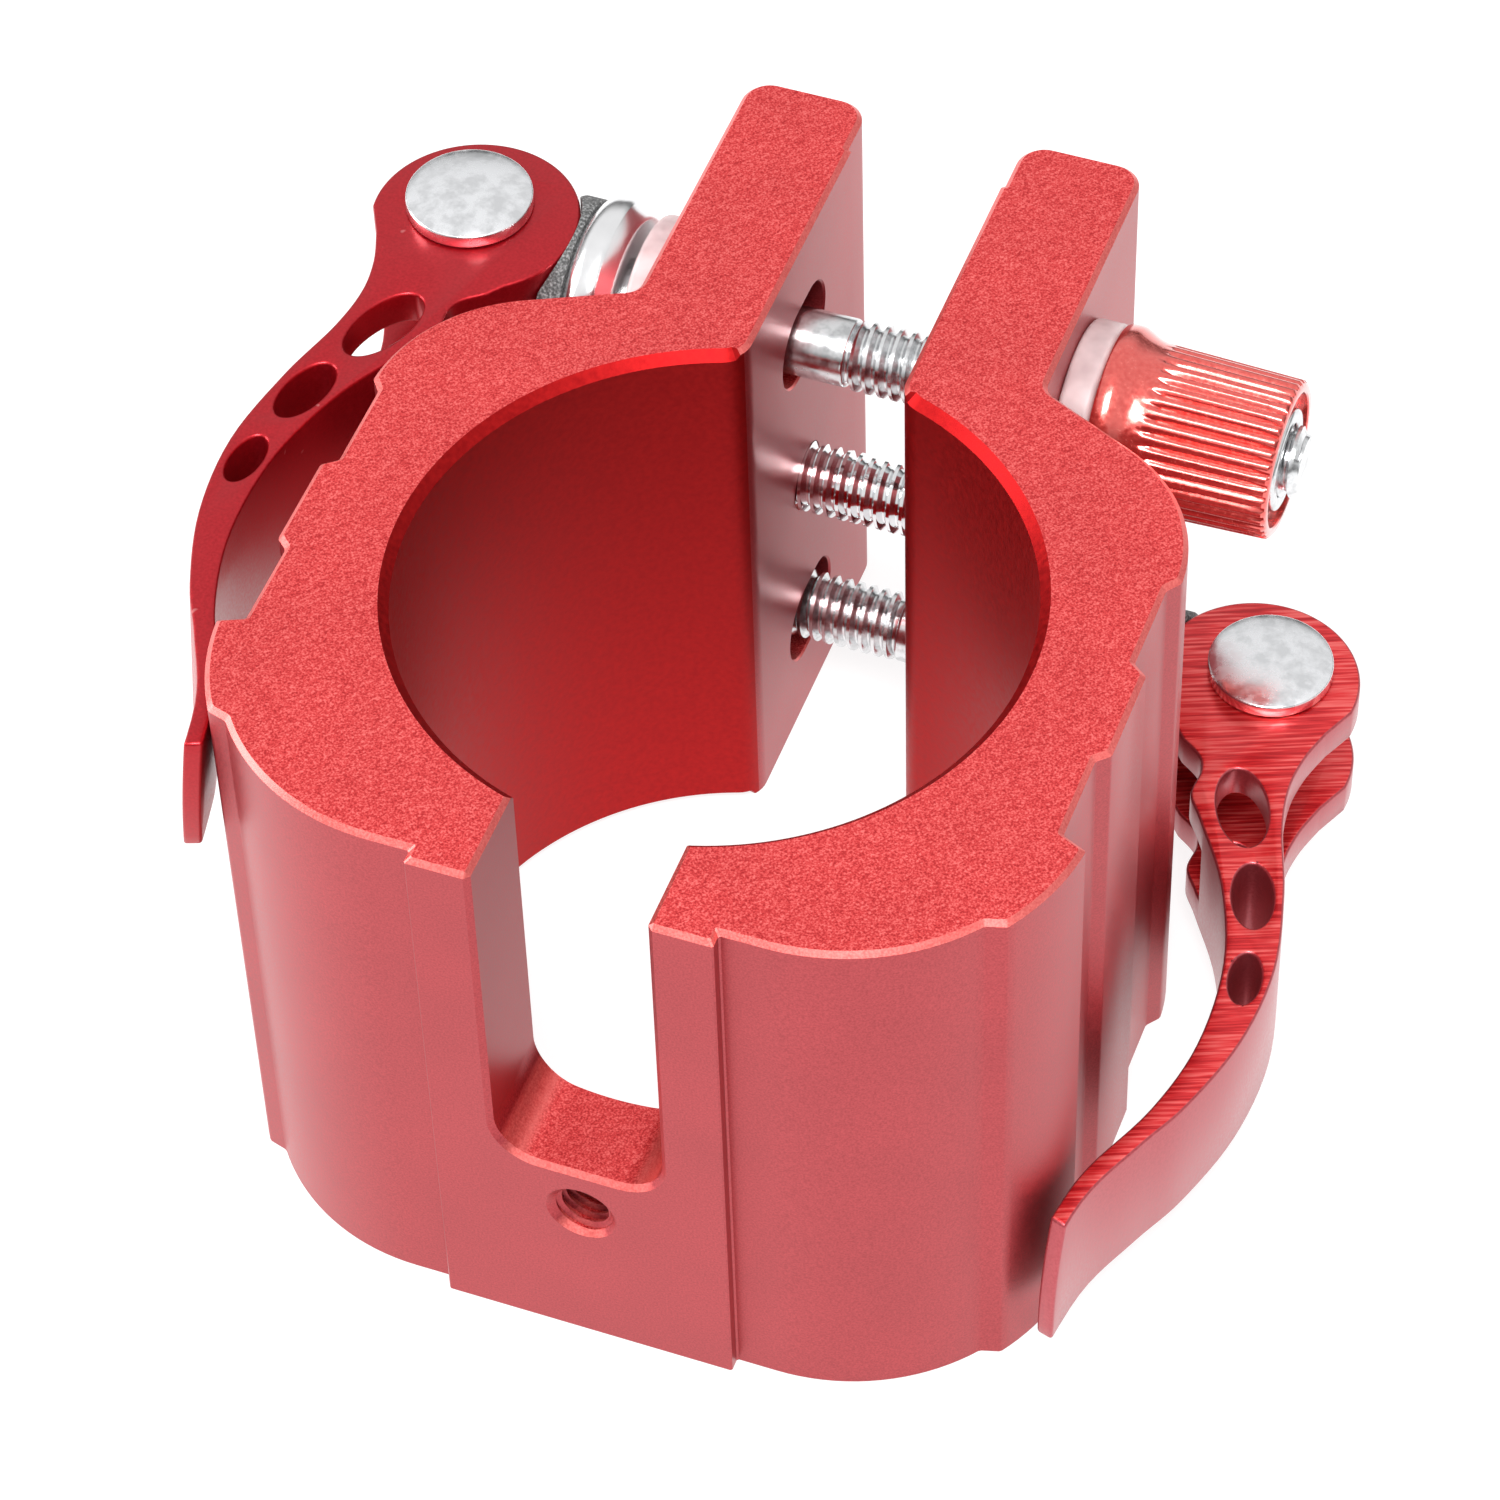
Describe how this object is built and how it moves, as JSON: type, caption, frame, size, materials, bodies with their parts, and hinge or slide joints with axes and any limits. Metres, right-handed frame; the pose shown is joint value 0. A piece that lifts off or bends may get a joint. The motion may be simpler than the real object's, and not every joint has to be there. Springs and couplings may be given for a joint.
{
  "type": "scooter stem clamp",
  "caption": "Split collar that clamps a round stem, closed by a centre bolt and two cam-lever quick-release skewers.",
  "frame": {"origin": "centre of the stem bore at mid height", "axes": "+Z along the stem, +Y towards the ears, +X to the right; the upper lever is on the left"},
  "size_m": [0.088, 0.0878, 0.0544],
  "materials": {
    "red_collar": "bead-blasted and anodised",
    "red_lever": "anodised, satin",
    "red_nut": "anodised, glossy, knurled",
    "bolt_steel": "bright plated",
    "washer_steel": "satin",
    "pivot_steel": "nickel plated",
    "skewer_steel": "turned and polished",
    "pad_plastic": "filled plastic, fine grain",
    "cup_steel": "bright",
    "nylon": "translucent white nylon",
    "insert_steel": "turned"
  },
  "bodies": {
    "root": {"clamp_collar": "red_collar", "upper_cam_pad": "pad_plastic", "upper_cup_washer": "cup_steel", "upper_lever_washer": "nylon", "lower_cam_pad": "pad_plastic", "lower_cup_washer": "cup_steel", "lower_lever_washer": "nylon"},
    "bolt_washer": {"centre_bolt_washer": "washer_steel"},
    "bolt": {"centre_bolt": "bolt_steel"},
    "upper_skewer_set": {"upper_skewer": "skewer_steel", "upper_pivot_barrel": "pivot_steel", "upper_pivot_cap": "pivot_steel"},
    "upper_lever_arm": {"upper_lever": "red_lever"},
    "upper_nut_slider": {"upper_nut_washer": "nylon"},
    "upper_nut": {"upper_nut_sleeve": "red_nut", "upper_nut_insert": "insert_steel"},
    "lower_skewer_set": {"lower_skewer": "skewer_steel", "lower_pivot_barrel": "pivot_steel", "lower_pivot_cap": "pivot_steel"},
    "lower_lever_arm": {"lower_lever": "red_lever"},
    "lower_nut_slider": {"lower_nut_washer": "nylon"},
    "lower_nut": {"lower_nut_sleeve": "red_nut", "lower_nut_insert": "insert_steel"}
  },
  "joints": [
    {"name": "bolt_washer_slide", "type": "slide", "parent": "root", "child": "bolt_washer", "axis": [1, 0, 0], "range_m": [0, 0.005]},
    {"name": "bolt_turn", "type": "hinge", "parent": "bolt_washer", "child": "bolt", "pos_m": [0.0113, 0.0377, 0], "axis": [1, 0, 0], "range_deg": [0, 1800.01]},
    {"name": "upper_skewer_slide", "type": "slide", "parent": "root", "child": "upper_skewer_set", "axis": [1, 0, 0], "range_m": [0, 0.00149]},
    {"name": "upper_lever_open", "type": "hinge", "parent": "upper_skewer_set", "child": "upper_lever_arm", "pos_m": [-0.0355, 0.037, 0.01675], "axis": [0, 0, -1], "range_deg": [0, 140.01]},
    {"name": "upper_nut_slide", "type": "slide", "parent": "upper_skewer_set", "child": "upper_nut_slider", "axis": [1, 0, 0], "range_m": [0, 0.005]},
    {"name": "upper_nut_turn", "type": "hinge", "parent": "upper_nut_slider", "child": "upper_nut", "pos_m": [0.02, 0.037, 0.01675], "axis": [1, 0, 0], "range_deg": [0, 1800.01]},
    {"name": "lower_skewer_slide", "type": "slide", "parent": "root", "child": "lower_skewer_set", "axis": [-1, 0, 0], "range_m": [0, 0.00146]},
    {"name": "lower_lever_open", "type": "hinge", "parent": "lower_skewer_set", "child": "lower_lever_arm", "pos_m": [0.0346, 0.0382, -0.01675], "axis": [0, 0, 1], "range_deg": [0, 136.51]},
    {"name": "lower_nut_slide", "type": "slide", "parent": "lower_skewer_set", "child": "lower_nut_slider", "axis": [-1, 0, 0], "range_m": [0, 0.005]},
    {"name": "lower_nut_turn", "type": "hinge", "parent": "lower_nut_slider", "child": "lower_nut", "pos_m": [-0.02, 0.0382, -0.01675], "axis": [-1, 0, 0], "range_deg": [0, 1800.01]}
  ],
  "couplings": [
    {"joint": "bolt_turn", "follows": "bolt_washer_slide", "rad_per_m": 6283.2},
    {"joint": "upper_lever_open", "follows": "upper_skewer_slide", "rad_per_m": 1636.2},
    {"joint": "upper_nut_turn", "follows": "upper_nut_slide", "rad_per_m": 6283.2},
    {"joint": "lower_lever_open", "follows": "lower_skewer_slide", "rad_per_m": 1636.2},
    {"joint": "lower_nut_turn", "follows": "lower_nut_slide", "rad_per_m": 6283.2}
  ]
}
